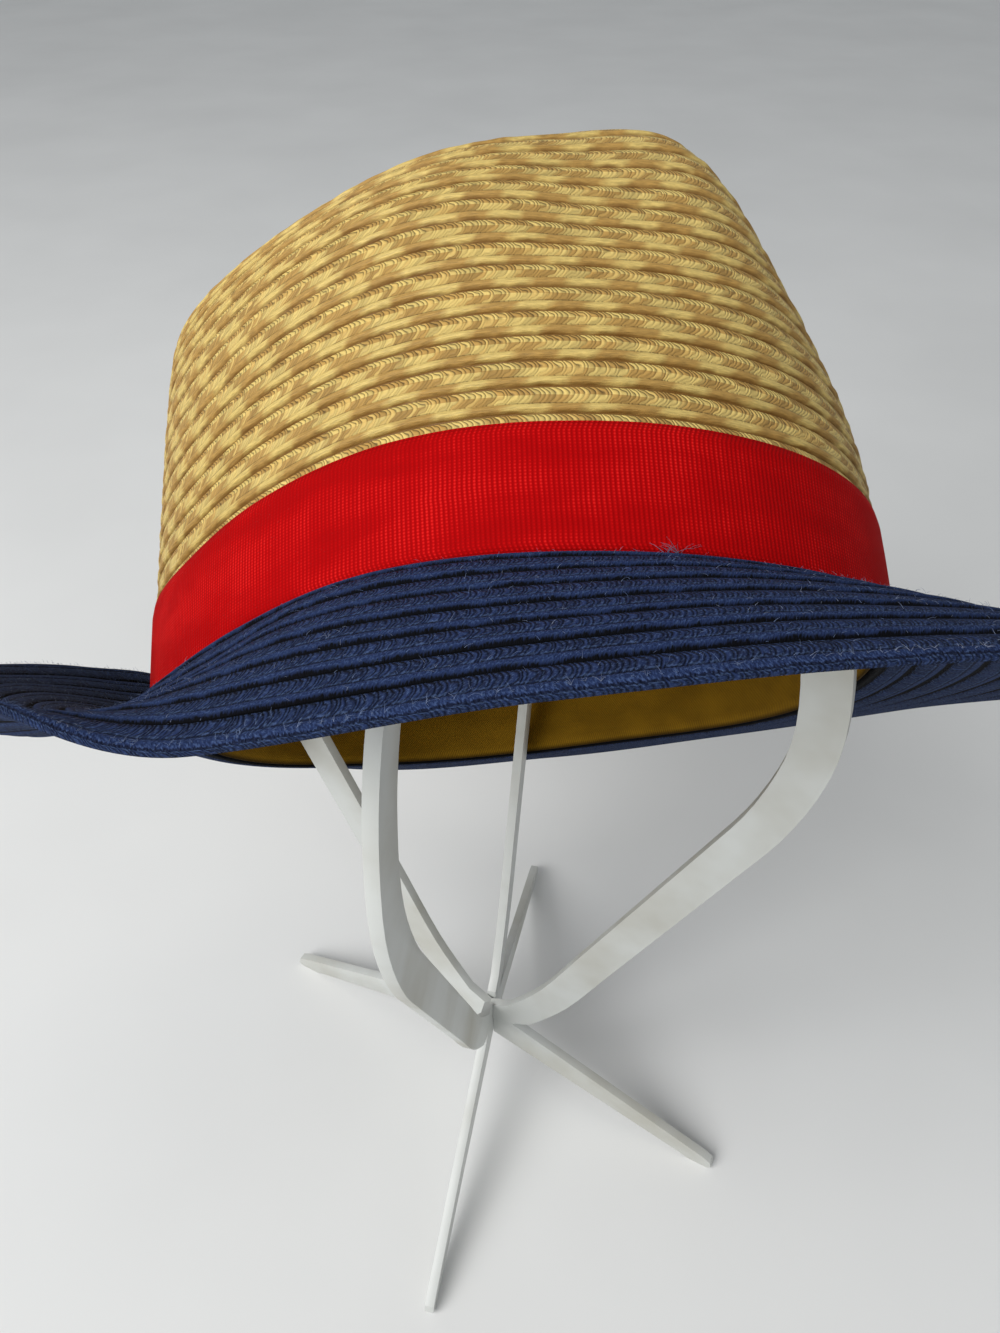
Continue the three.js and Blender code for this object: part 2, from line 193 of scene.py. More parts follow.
class TrilbyStraw(bpy.types.PropertyGroup):
    """Sizes and colours of the sewn braid."""
    crown_row: length(5.3, "Crown row at the foot", "Visible width of a braid row by the ribbon")
    crown_row_top: length(7.0, "Crown row at the top", "Visible width of a braid row by the top edge")
    brim_row: length(6.35, "Brim row", "Visible width of a braid row on the brim")
    strand: length(0.95, "Strand", "Spacing of the plaited straws along a row")
    patch: length(13.0, "Patch", "Length over which light and tan straws repeat")
    light: colour("#d7bb6e", "Light straw", "Bleached straws")
    tan: colour("#b28c4a", "Tan straw", "Unbleached straws")
    # Painted shade: the straw in the shaded gap under a rolled edge.
    shade: colour("#785522", "Gap", "Straw in the gap under a rolled edge")
    navy: colour("#25345a", "Navy", "Dyed straw of the brim")
    # Painted shade: brim straw between the straws, and the dark line in the valley above the roll.
    navy_dark: colour("#0d1122", "Dark navy", "Brim straw in the gaps and stitches")
    # Painted shade: brim straw in the gap under a rolled edge and under the ribbon.
    navy_gap: colour("#04050a", "Brim gap", "Brim straw under a rolled edge")
    lint: colour("#4f6388", "Lint", "Fibre raised on the brim")
    hair: colour("#737a8d", "Hair", "Loose hairs, bleached")


class TrilbyCloth(bpy.types.PropertyGroup):
    """Colours and thread sizes of the ribbon and the sweatband."""
    red: colour("#d20407", "Red", "Ribbon ribs")
    # Painted highlight: light on the ribs' threads.
    red_light: colour("#f03a34", "Light red", "Threads on the ribs that catch the light")
    # Painted shade: the ribbon between its ribs.
    red_dark: colour("#9c0103", "Dark red", "Ribbon between its ribs")
    rib: length(0.85, "Rib", "Spacing of the ribbon's ribs")
    mustard: colour("#8c6814", "Mustard", "Sweatband cloth")
    mustard_dark: colour("#684b0b", "Dark mustard", "Sweatband between its threads")
    # Painted shade: the dark along the sweatband's lower hem.
    hem: colour("#2a1d06", "Hem", "Grimy lower hem of the sweatband")
    thread: length(0.8, "Thread", "Spacing of the sweatband's twill lines")


class TrilbyStand(bpy.types.PropertyGroup):
    """Finish of the display stand."""
    white: colour("#c9cbc7", "White", "Moulded plastic")
    worn: colour("#b0aea3", "Worn white", "Plastic dulled by handling")
    edge: length(0.9, "Edge", "Rounding along the edges of the strips")
    floor: colour("#e6e6e4", "Floor", "Pale table top")
    rounds: IntProperty(name="Edge steps", description="Faces across an edge", default=3, min=1)


def through(keys, values, x, turn=0.0):
    """Cubic through a table, open or going round a full turn."""
    x = np.asarray(x, float)
    if turn:
        keys = np.concatenate([keys - turn, keys, keys + turn])
        values, x = np.tile(values, 3), np.mod(x, turn)
    k = np.clip(np.searchsorted(keys, x, side="right") - 1, 0, len(keys) - 2)
    slopes = np.empty(len(keys))
    slopes[1:-1] = (values[2:] - values[:-2]) / (keys[2:] - keys[:-2])
    slopes[0] = (values[1] - values[0]) / (keys[1] - keys[0])
    slopes[-1] = (values[-1] - values[-2]) / (keys[-1] - keys[-2])
    span = keys[k + 1] - keys[k]
    t, p, q = (x - keys[k]) / span, values[k], values[k + 1]
    u, v = slopes[k] * span, slopes[k + 1] * span
    return p + t * (u + t * (3 * (q - p) - 2 * u - v + t * (2 * (p - q) + u + v)))


def ease(x, low, high):
    """From 0 at low to 1 at high, level at both ends."""
    t = np.clip((np.asarray(x, float) - low) / (high - low), 0, 1)
    return t * t * (3 - 2 * t)


def round_oval(stations, turn):
    """What a table of stations gives at every turn, one array for each of its values."""
    return [through(stations[:, 0], values, np.degrees(turn), 360.0) for values in stations.T[1:]]


def foot_wave(turn):
    """Rise of the crown's foot over the oval's plane."""
    return round_oval(FOOT_STATIONS, turn)[0]


def half_oval(turn):
    """Half lengths of the oval on the side where the turn points."""
    return (np.where(np.cos(turn) > 0, OVAL_FRONT, OVAL_BACK),
            np.where(np.sin(turn) > 0, OVAL_LEFT, OVAL_RIGHT))


def crown_face(turn, place):
    """Points of the crown's outer face, turn round the axis and place along the levels."""
    turn, place = np.broadcast_arrays(np.asarray(turn, float), np.asarray(place, float))
    index = np.arange(len(CROWN_LEVELS), dtype=float)
    rise, plain, drop = (through(index, CROWN_LEVELS[:, c], place) for c in range(3))
    tall, taper = round_oval(CROWN_STATIONS, turn)
    girth = plain + (1 - plain) * (1 - taper) * ease(plain, *TAPER_GIRTH)
    height = TOP_HEIGHT + (tall - TOP_HEIGHT) * np.minimum(1, plain / EDGE_GIRTH)
    long, wide = half_oval(turn)
    angle = np.degrees(np.arctan2(np.sin(turn), np.cos(turn)))
    pinch = sum(depth * np.exp(-((angle - at) / spread) ** 2) for at, spread, depth in PINCHES)
    pinch = pinch * ease(rise, *PINCH_RISE) * np.minimum(1, plain / PINCH_GIRTH)
    pull = girth * (1 - pinch / np.hypot(wide * np.sin(turn), long * np.cos(turn)))
    return np.stack([
        long * pull * np.cos(turn), wide * pull * np.sin(turn),
        rise * height - drop + foot_wave(turn) * (1 - rise)], axis=-1)


def unit(v):
    """Vectors scaled to length one."""
    return v / np.maximum(np.linalg.norm(v, axis=-1, keepdims=True), 1e-9)


def crown_out(turn, place, out=0.0):
    """Points off the crown's outer face by out, along its normal."""
    step, last = 0.01, len(CROWN_LEVELS) - 1.0
    turn, place = np.broadcast_arrays(np.asarray(turn, float), np.asarray(place, float))
    around = crown_face(turn + step, place) - crown_face(turn - step, place)
    up = crown_face(turn, np.minimum(place + step, last)) - crown_face(turn, np.maximum(place - step, 0))
    return crown_face(turn, place) + unit(np.cross(around, up)) * np.asarray(out)[..., None]


def crown_places(turn, heights):
    """Places along the levels where the wall stands at heights over its foot."""
    shape = np.broadcast(turn, heights).shape
    low, high = np.zeros(shape), np.full(shape, WALL_LEVEL)
    for _ in range(30):
        middle = (low + high) / 2
        below = crown_face(turn, middle)[..., 2] - foot_wave(turn) < heights
        low, high = np.where(below, middle, low), np.where(below, high, middle)
    return (low + high) / 2


def brim_lines(turn, steps=212):
    """Upper face of the brim along each turn: points, slopes and outward directions."""
    long, wide = half_oval(turn)
    out = unit(np.stack([np.cos(turn) / long, np.sin(turn) / wide, np.zeros_like(turn)], axis=-1))
    inner, outer = round_oval(BRIM_STATIONS, turn)
    point = crown_out(turn, np.zeros_like(turn), np.full_like(turn, -STRAW))
    point[:, 2] = foot_wave(turn) - SEAM
    full, points, slopes = BRIM_WIDTH + STRAW, [], []
    for i in range(steps + 1):
        share = i / steps
        slope = np.radians(ease(share * full, STRAW, BRIM_ROLL) * (inner + (outer - inner) * share))
        points.append(point.copy())
        slopes.append(slope)
        point = point + out * (np.cos(slope) * full / steps)[:, None]
        point[:, 2] += np.sin(slope) * full / steps
    return np.array(points), np.array(slopes), out


def stand_axis():
    """Where the stand's upright axis meets the floor, in metres."""
    low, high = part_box("stand_frame_a")
    return (low[0] + high[0]) / 2, (low[1] + high[1]) / 2


def to_world(points):
    """Points of the hat's own frame, millimetres, in the row's frame, metres."""
    tilt, lean = math.radians(HAT_TILT), math.radians(HAT_LEAN)
    axis = np.array([-math.sin(lean), math.cos(lean) * math.sin(tilt), math.cos(lean) * math.cos(tilt)])
    near = np.array([0.0, -1.0, 0.0])
    near = unit(near - axis * near.dot(axis))
    turn = -math.radians(HAT_TURN)
    front = near * math.cos(turn) + np.cross(axis, near) * math.sin(turn)
    side = np.cross(axis, front)
    x, y = stand_axis()
    local = np.asarray(points, float)
    world = local[..., :1] * front + local[..., 1:2] * side + local[..., 2:3] * axis
    return (world + np.array(HAT_CENTRE)) * MM + np.array([x, y, 0.0])


def ring_lengths(points):
    """Distance along each ring from its first column, with the full round at the end."""
    steps = np.linalg.norm(np.roll(points, -1, axis=1) - points, axis=-1)
    return np.concatenate([np.zeros((len(points), 1)), np.cumsum(steps, axis=1)], axis=1)


def add_piece(name, corners, faces, material, flat=None):
    """A mesh object, smooth if flat gives the braid's own coordinates of its face corners."""
    mesh = bpy.data.meshes.new(name)
    mesh.from_pydata(np.asarray(corners).tolist(), [], faces)
    if flat is not None:
        mesh.uv_layers.new(name="braid").data.foreach_set("uv", flat.ravel())
        mesh.polygons.foreach_set("use_smooth", [True] * len(mesh.polygons))
    mesh.materials.append(material)
    mesh.validate()
    piece = bpy.data.objects.new(name, mesh)
    bpy.context.scene.collection.objects.link(piece)
    return piece


def skin(name, rings, around, down, material, closed=True, top=None, low=None):
    """Mesh over rings of points: around and down are the braid's own coordinates in
    millimetres and rows, top and low are single points that end an open skin."""
    count, columns = rings.shape[:2]
    corners = to_world(rings.reshape(-1, 3))
    i = np.arange(count if closed else count - 1)
    a, j = np.meshgrid(i, np.arange(columns), indexing="ij")
    b, k = (a + 1) % count, (j + 1) % columns
    quads = np.stack([a * columns + j, b * columns + j, b * columns + k, a * columns + k], axis=-1)
    faces = quads.reshape(-1, 4).tolist()
    lower = np.concatenate([down, down[:1]]) if closed else down
    flat = np.stack([
        np.stack([around[a, j], lower[a, j]], -1),
        np.stack([around[b, j], lower[a + 1, j]], -1),
        np.stack([around[b, j + 1], lower[a + 1, k]], -1),
        np.stack([around[a, j + 1], lower[a, k]], -1)], axis=2).reshape(-1, 2)
    for end, ring, flip in ((top, 0, False), (low, count - 1, True)):
        if end is None:
            continue
        corners = np.vstack([corners, to_world(np.array([end]))])
        tip, first = len(corners) - 1, ring * columns
        pairs = [(first + c, first + (c + 1) % columns) for c in range(columns)]
        faces += [[tip, q, p] if flip else [tip, p, q] for p, q in pairs]
        fan = np.stack([around[ring, :columns], down[ring]], axis=-1)
        flat = np.vstack([flat, np.repeat(fan, 3, axis=0)])
    return add_piece(name, corners, faces, material, flat)


def seat(piece, slot, *nodes):
    """Ride the piece on the one body, in the place of its CAD nodes."""
    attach(piece, "root")
    if nodes:
        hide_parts(*nodes)
    return piece


def sway(turn, row, uneven, waves=ROW_WAVES):
    """Slow unevenness of a hand-fed row, the same on every run."""
    draw, size = uneven
    rng = np.random.default_rng(SEED + (row + draw) * 7)
    phases = rng.uniform(0, 2 * math.pi, len(waves))
    return size * sum(np.sin(w * turn + p) for w, p in zip(waves, phases)) / len(waves)


class Finish:
    """A material; calling it adds one node, with its settings and what feeds its sockets."""

    def __init__(self, name):
        self.material = bpy.data.materials.new(name)
        self.material.use_nodes = True
        self.tree = self.material.node_tree
        self.shader = self.tree.nodes["Principled BSDF"]

    def __call__(self, kind, *feeds, named=None, **settings):
        made = self.tree.nodes.new("ShaderNode" + kind)
        for key, value in settings.items():
            setattr(made, key, value)
        for socket, value in zip([s for s in made.inputs if s.enabled], feeds):
            self.feed(socket, value)
        for key, value in (named or {}).items():
            self.feed(made.inputs[key], value)
        return made

    def feed(self, socket, value):
        if isinstance(value, bpy.types.Node):
            value = next(s for s in value.outputs if s.enabled)
        if isinstance(value, bpy.types.NodeSocket):
            self.tree.links.new(value, socket)
        elif value is not None:
            socket.default_value = value

    def end(self, **sockets):
        for key, value in sockets.items():
            self.feed(self.shader.inputs[key.replace("_", " ")], value)
        return self.material


def plait(add, spacing, sweep):
    """Straws of one braid row, over the mesh's own coordinates: millimetres along the row,
    rows down. They bow by sweep, down from the upper left and back to the lower left, one
    spacing apart. They lie looser and tighter over about 6 mm, and wander over about 1 mm.
    Returns what the finishes share."""
    place = add("SeparateXYZ", add("UVMap", uv_map="braid"))
    along, rows = place.outputs[0], place.outputs[1]
    row = add("Math", rows, operation="FLOOR")
    share = add("Math", rows, operation="FRACT")
    chance = add("SeparateXYZ", add("TexWhiteNoise", row, noise_dimensions="1D").outputs["Color"])
    slow = add("CombineXYZ", add("Math", along, 0.16, operation="MULTIPLY"), rows, 0.0)
    loose = add("TexNoise", slow, named={"Scale": 1.0, "Detail": 2.0})
    loose = add("Math", loose.outputs[0], 0.5, operation="SUBTRACT")
    bow = add("MapRange", share, 0.0, 0.62, -0.55, 0.45)
    bow = add("Math", bow, bow, operation="MULTIPLY")
    lean = add("Math", bow, sweep, along, operation="MULTIPLY_ADD")
    lean = add("Math", loose, 2.2, lean, operation="MULTIPLY_ADD")
    each = add("CombineXYZ", along, add("Math", row, 3.7, operation="MULTIPLY"), 0.0)
    wander = add("TexNoise", each, named={"Scale": 0.8, "Detail": 0.0})
    lean = add("Math", wander.outputs[0], 1.5, lean, operation="MULTIPLY_ADD")
    strand = add("Math", lean, 1 / spacing, chance.outputs[0], operation="MULTIPLY_ADD")
    number = add("Math", strand, operation="FLOOR")
    across = add("Math", add("Math", strand, operation="FRACT"), math.pi, operation="MULTIPLY")
    round_top = add("Math", across, operation="SINE")
    single = add("TexWhiteNoise", add("CombineXYZ", number, row, 0.0), noise_dimensions="2D")
    return along, rows, share, chance, loose, number, round_top, single.outputs[0]


def straw_braid():
    """Plaited wheat straw, sewn in overlapping rows. Each straw is a split, flattened
    tube with a waxy shine; light and tan straws alternate in short patches, and the
    lower edge of every row is a rolled cord, with shade painted as a dark line under it on the next."""
    straw = bpy.context.scene.trilby_straw
    add = Finish("wheat straw, plaited and sewn")
    braid = plait(add, straw.strand / MM, sweep=6.8)
    along, rows, share, chance, loose, number, round_top, single = braid
    # Patches: about seven straws light, the next seven tan, shifted from row to row. In the
    # upper third the straws of the other colour lie on top.
    upper = add("MapRange", share, 0.34, 0.38, 0.5, 0.0)
    step = add("Math", number, straw.strand / straw.patch, chance.outputs[1], operation="MULTIPLY_ADD")
    step = add("Math", step, upper, operation="ADD")
    patch = add("MapRange", add("Math", step, 0.5, operation="PINGPONG"), 0.19, 0.31, 0.0, 1.0)
    odd = add("MapRange", single, 0.8, 1.0, 0.0, 0.6)
    patch = add("Math", add("Math", patch, odd, operation="SUBTRACT"), operation="ABSOLUTE")
    # The rolled edge: longer straws laid along the row, with slanted ends.
    roll = add("Math", share, 5.0, along, operation="MULTIPLY_ADD")
    roll = add("Math", loose, 7.0, roll, operation="MULTIPLY_ADD")
    roll_step = add("Math", roll, MM / straw.patch, chance.outputs[1], operation="MULTIPLY_ADD")
    roll_patch = add("Math", add("Math", roll_step, 0.62, operation="ADD"), 0.5, operation="PINGPONG")
    roll_patch = add("MapRange", roll_patch, 0.18, 0.34, 0.0, 1.0)
    rolled = add("MapRange", share, 0.64, 0.7, 0.0, 1.0)
    light = add("Mix", rolled, patch, roll_patch, data_type="FLOAT")
    both = add("Mix", light, straw.tan, straw.light, data_type="RGBA")
    # Every straw has its own tone. Shade is painted in the gaps between the straws, darkest high in the
    # row under the roll above, and a highlight is painted on their upper ends.
    own = add("MapRange", single, 0.0, 1.0, 0.76, 1.16)
    deep = add("MapRange", share, 0.28, 0.42, 0.2, 0.85)
    side = add("MapRange", round_top, 0.0, 0.7, deep, add("MapRange", share, 0.1, 0.5, 1.15, 0.96))
    # Fibres of the cord, about 2 mm long and 0.2 mm wide.
    fine = add("CombineXYZ", add("Math", along, 0.5, operation="MULTIPLY"),
               add("Math", rows, 26.0, operation="MULTIPLY"), 0.0)
    fibre = add("TexNoise", fine, named={"Scale": 1.0, "Detail": 2.0})
    long_fibre = add("MapRange", fibre.outputs[0], 0.3, 0.7, 0.7, 1.14)
    flat_tone = add("Math", own, side, operation="MULTIPLY")
    tone = add("Mix", rolled, flat_tone, long_fibre, data_type="FLOAT")
    # A thin dark line shows here and there in the valley above the roll.
    sewn = add("MapRange", loose, -0.06, 0.06, 0.5, 0.85)
    valley = add("Math", add("Math", share, 0.65, operation="SUBTRACT"), operation="ABSOLUTE")
    tone = add("Math", tone, add("MapRange", valley, 0.01, 0.035, sewn, 1.0), operation="MULTIPLY")
    toned = add("Mix", 1.0, both, tone, data_type="RGBA", blend_type="MULTIPLY")
    # Shade is painted in the gap under each rolled edge and where the row is tucked under the one above.
    uneven = add("Math", loose, 0.14, share, operation="MULTIPLY_ADD")
    under = add("MapRange", uneven, 0.9, 0.98, 0.0, 1.0, interpolation_type="SMOOTHSTEP")
    tucked = add("MapRange", uneven, 0.07, 0.0, 0.0, 1.0, interpolation_type="SMOOTHSTEP")
    gap = add("Math", under, tucked, operation="MAXIMUM")
    face = add("Mix", gap, toned, straw.shade, data_type="RGBA")
    rise = add("Mix", rolled, round_top, fibre.outputs[0], data_type="FLOAT")
    bump = add("Bump", named={"Strength": 0.45, "Distance": 0.4 * MM, "Height": rise})
    rough = add("MapRange", light, 0.0, 1.0, 0.62, 0.52)
    return add.end(Base_Color=face, Roughness=rough, IOR=1.5, Specular_IOR_Level=0.3, Normal=bump)


def navy_braid():
    """The same braid dyed navy, with a hairy finish: fine bowed straws, a sewing thread
    above the rolled edge, shade painted as a frayed black line under it, and loose fibre
    that greys the blue in flecks."""
    straw = bpy.context.scene.trilby_straw
    add = Finish("dyed straw, plaited and sewn")
    along, rows, share, _, loose, _, round_top, single = plait(add, 0.9 * straw.strand / MM, sweep=5.2)
    # Fibre flecks about 0.4 mm wide, slanted as they lie on the straw.
    slant = add("Math", along, 1.4, operation="MULTIPLY")
    fine = add("CombineXYZ", add("Math", along, 2.6, operation="MULTIPLY"),
               add("Math", rows, 15.0, slant, operation="MULTIPLY_ADD"), 0.0)
    fuzz = add("TexNoise", fine, named={"Scale": 1.0, "Detail": 3.0}).outputs[0]
    frayed = add("Math", fuzz, 0.5, operation="SUBTRACT")
    frayed = add("Math", frayed, 0.16, share, operation="MULTIPLY_ADD")
    frayed = add("Math", loose, 0.12, frayed, operation="MULTIPLY_ADD")
    rolled = add("MapRange", frayed, 0.6, 0.68, 0.0, 1.0)
    # Shade is painted between the straws, darkest high in the row, over each straw's own tone.
    own = add("MapRange", single, 0.0, 1.0, 0.4, 1.0)
    deep = add("MapRange", share, 0.15, 0.5, 0.05, 0.4)
    shade = add("Math", add("MapRange", round_top, 0.1, 0.8, deep, 1.0), own, operation="MULTIPLY")
    roll_shade = add("MapRange", fuzz, 0.32, 0.62, 0.45, 1.1)
    shade = add("Mix", rolled, shade, roll_shade, data_type="FLOAT")
    dyed = add("Mix", shade, straw.navy_dark, straw.navy, data_type="RGBA")
    bloom = add("MapRange", fuzz, 0.5, 0.74, 0.0, 0.7)
    dusty = add("Mix", bloom, dyed, straw.lint, data_type="RGBA")
    # A sewing thread 2.6 mm a stitch lies in the valley above the roll, dark below it.
    dash = add("Math", add("Math", along, 1 / 2.6, operation="MULTIPLY"), operation="FRACT")
    dash = add("Math", dash, 0.72, operation="LESS_THAN")
    thread = add("Math", add("Math", frayed, 0.57, operation="SUBTRACT"), operation="ABSOLUTE")
    thread = add("Math", add("MapRange", thread, 0.015, 0.035, 0.45, 0.0), dash, operation="MULTIPLY")
    sewn = add("Mix", thread, dusty, straw.lint, data_type="RGBA")
    valley = add("Math", add("Math", frayed, 0.63, operation="SUBTRACT"), operation="ABSOLUTE")
    valley = add("MapRange", valley, 0.015, 0.05, 0.8, 0.0)
    sewn = add("Mix", valley, sewn, straw.navy_dark, data_type="RGBA")
    # Painted shade: a frayed black line in the gap under each rolled edge and where the row is tucked
    # under the one above.
    under = add("MapRange", frayed, 0.86, 0.92, 0.0, 1.0, interpolation_type="SMOOTHSTEP")
    tucked = add("MapRange", frayed, 0.13, 0.07, 0.0, 1.0, interpolation_type="SMOOTHSTEP")
    gap = add("Math", under, tucked, operation="MAXIMUM")
    # The innermost row is tucked in under the ribbon, where no light reaches it.
    ragged = add("Math", fuzz, 0.25, rows, operation="MULTIPLY_ADD")
    seam = add("MapRange", ragged, 1.16, 1.24, 1.0, 0.0, interpolation_type="SMOOTHSTEP")
    gap = add("Math", gap, seam, operation="MAXIMUM")
    face = add("Mix", gap, sewn, straw.navy_gap, data_type="RGBA")
    rise = add("Mix", rolled, round_top, fuzz, data_type="FLOAT")
    bump = add("Bump", named={"Strength": 0.8, "Distance": 0.5 * MM, "Height": rise})
    return add.end(Base_Color=face, Roughness=0.85, IOR=1.5, Specular_IOR_Level=0.1, Normal=bump)


def lint_hair():
    """Loose fibre from the dyed straw: thin, dull, bleached by light, its tint changing
    about every 11 mm."""
    straw = bpy.context.scene.trilby_straw
    add = Finish("loose straw fibre")
    info = add("TexNoise", add("TexCoord").outputs["Object"], named={"Scale": 90.0, "Detail": 1.0})
    tint = add("MapRange", info.outputs[0], 0.35, 0.65, 0.0, 1.0)
    face = add("Mix", tint, straw.lint, straw.hair, data_type="RGBA")
    return add.end(Base_Color=face, Roughness=0.75, IOR=1.5)


def grosgrain():
    """Grosgrain woven from viscose: firm ribs across the width, each a bundle of weft
    under fine warp, so it is matt; a soft highlight is painted along every rib, with shade between them."""
    cloth = bpy.context.scene.trilby_cloth
    add = Finish("viscose grosgrain, woven")
    place = add("SeparateXYZ", add("UVMap", uv_map="braid"))
    along, up = place.outputs[0], place.outputs[1]
    # The ribs wander, and the painted light on them comes and goes, over about 20 mm along and 8 mm up.
    broad = add("CombineXYZ", add("Math", along, 0.05, operation="MULTIPLY"),
                add("Math", up, 0.12, operation="MULTIPLY"), 0.0)
    slack = add("TexNoise", broad, named={"Scale": 1.0, "Detail": 3.0})
    bent = add("Math", slack.outputs[0], 0.8, along, operation="MULTIPLY_ADD")
    turns = add("Math", bent, 2 * math.pi * MM / cloth.rib, operation="MULTIPLY")
    rib = add("MapRange", add("Math", turns, operation="SINE"), -1.0, 1.0, 0.0, 1.0)
    # Warp threads, 0.25 mm apart on the cloth, drawn at 0.6 mm so that they show.
    warp = add("Math", add("Math", up, 2 * math.pi / 0.6, operation="MULTIPLY"), operation="SINE")
    dots = add("Math", add("MapRange", warp, -1.0, 1.0, 0.4, 1.0), rib, operation="MULTIPLY")
    # Painted light in broad patches, brighter and darker over the ribbon.
    patchy_tone = add("MapRange", slack.outputs[0], 0.35, 0.65, 0.3, 1.2)
    number = add("Math", add("Math", turns, 0.5 / math.pi, operation="MULTIPLY"), operation="FLOOR")
    single = add("TexWhiteNoise", number, noise_dimensions="1D").outputs[0]
    own = add("MapRange", single, 0.0, 1.0, 0.8, 1.1)
    mixed = add("Math", add("Math", dots, patchy_tone, operation="MULTIPLY"), own, operation="MULTIPLY")
    # The ribs are painted light on their crowns and dark between them, as painted highlight and shade
    # over each rib's own tone.
    ribbed = add("Mix", mixed, cloth.red_dark, cloth.red, data_type="RGBA")
    # Painted highlight: glints of light red on the brightest threads.
    glint = add("MapRange", mixed, 0.4, 1.0, 0.0, 0.26)
    face = add("Mix", glint, ribbed, cloth.red_light, data_type="RGBA")
    bump = add("Bump", named={"Strength": 0.5, "Distance": 0.25 * MM, "Height": dots})
    return add.end(Base_Color=face, Roughness=0.85, IOR=1.5, Specular_IOR_Level=0.06, Normal=bump)


def cotton_twill():
    """Cotton twill cut into a sweatband: slanted fine lines, matt, a little darker where
    it is creased against the head."""
    cloth = bpy.context.scene.trilby_cloth
    add = Finish("cotton twill, woven")
    place = add("SeparateXYZ", add("UVMap", uv_map="braid"))
    along, up = place.outputs[0], place.outputs[1]
    slant = add("Math", up, 0.9, along, operation="MULTIPLY_ADD")
    turns = add("Math", slant, 2 * math.pi * MM / cloth.thread, operation="MULTIPLY")
    lines = add("Math", turns, operation="SINE")
    # Wear in patches of about 17 mm along and 10 mm up.
    broad = add("CombineXYZ", add("Math", along, 0.06, operation="MULTIPLY"),
                add("Math", up, 0.1, operation="MULTIPLY"), 0.0)
    worn = add("TexNoise", broad, named={"Scale": 1.0, "Detail": 4.0})
    tone = add("Math", lines, 0.25, worn.outputs[0], operation="MULTIPLY_ADD")
    patchy_tone = add("MapRange", tone, 0.2, 0.8, 0.0, 1.0)
    dyed = add("Mix", patchy_tone, cloth.mustard_dark, cloth.mustard, data_type="RGBA")
    # Shade is painted on the hem for about a millimetre above its cut edge.
    hem = add("MapRange", up, BAND_FOOT + 0.2, BAND_FOOT + 1.4, 0.85, 0.0)
    face = add("Mix", hem, dyed, cloth.hem, data_type="RGBA")
    bump = add("Bump", named={"Strength": 0.4, "Distance": 0.15 * MM, "Height": lines})
    return add.end(Base_Color=face, Roughness=0.9, IOR=1.5, Specular_IOR_Level=0.1, Normal=bump)


def moulded_white():
    """Polystyrene sheet cut from a moulded blank: cool white, satin, with the faint
    orange peel of the mould and greyer patches where it has been handled."""
    stand = bpy.context.scene.trilby_stand
    add = Finish("polystyrene, moulded")
    spot = add("TexCoord").outputs["Object"]
    # Orange peel about 1.2 mm across; handling marks about 40 mm.
    peel = add("TexNoise", spot, named={"Scale": 1 / (1.2 * MM), "Detail": 1.0})
    marks = add("TexNoise", spot, named={"Scale": 1 / (40 * MM), "Detail": 4.0})
    dull = add("MapRange", marks.outputs[0], 0.42, 0.72, 0.0, 1.0)
    face = add("Mix", dull, stand.white, stand.worn, data_type="RGBA")
    rough = add("MapRange", marks.outputs[0], 0.3, 0.7, 0.36, 0.52)
    bump = add("Bump", named={"Strength": 0.15, "Distance": 0.05 * MM, "Height": peel.outputs[0]})
    return add.end(Base_Color=face, Roughness=rough, IOR=1.59, Normal=bump)


def pale_top():
    """Painted table top: pale, matt, all but even, in clouds about 170 mm across."""
    stand = bpy.context.scene.trilby_stand
    add = Finish("painted board, matt")
    haze = add("TexNoise", add("TexCoord").outputs["Object"], named={"Scale": 6.0, "Detail": 3.0})
    soft = add("MapRange", haze.outputs[0], 0.3, 0.7, 0.94, 1.0)
    face = add("Mix", 1.0, stand.floor, soft, data_type="RGBA", blend_type="MULTIPLY")
    return add.end(Base_Color=face, Roughness=0.8)


def crown_arcs(turn, places):
    """Distance from the foot, over the crown's face, of all places at every turn."""
    line = crown_face(*np.broadcast_arrays(turn, places[:, None]))
    steps = np.linalg.norm(np.diff(line, axis=0), axis=2)
    return np.concatenate([np.zeros((1, len(turn))), np.cumsum(steps, axis=0)])


def crown_rows(turn):
    """Places along the levels of every braid row edge at every turn, from the middle of the
    top down, and the rows' distance from the foot at the front. Rows keep even widths up
    the wall, and close to rings on the top."""
    straw = bpy.context.scene.trilby_straw
    places = np.linspace(0, len(CROWN_LEVELS) - 1, 1201)
    arc = crown_arcs(np.array([FRONT_TURN]), places)[:, 0]
    foot_row, top_row = straw.crown_row / MM, straw.crown_row_top / MM
    edges = [0.0]
    while edges[-1] < arc[-1] - BUTTON:
        widened = (top_row - foot_row) * ease(edges[-1], WIDEN_HEIGHT, SHOULDER)
        edges.append(edges[-1] + foot_row + widened)
    edges = np.array(edges)[::-1] * (arc[-1] - BUTTON) / edges[-1]
    even = np.stack([np.interp(edges, own, places) for own in crown_arcs(turn, places).T], axis=1)
    ring = ease(edges, EVEN_HEIGHT, SHOULDER)[:, None]
    return even * (1 - ring) + np.interp(edges, arc, places)[:, None] * ring, edges


class Weave:
    """Rings of points over rows of braid, with the rows' own coordinates."""

    def __init__(self, turn):
        self.turn, self.rings, self.around, self.down = turn, [], [], []

    def row(self, rings, downs):
        """Add one row's rings, all measured along the ring in its middle."""
        along = ring_lengths(np.array([rings[len(rings) // 2]]))[0]
        self.rings += rings
        self.around += [along] * len(rings)
        self.down += [np.full_like(self.turn, down) for down in downs]

    def skin(self, name, material, *ends):
        grids = (np.array(grid) for grid in (self.rings, self.around, self.down))
        return skin(name, *grids, material, not ends, *ends)


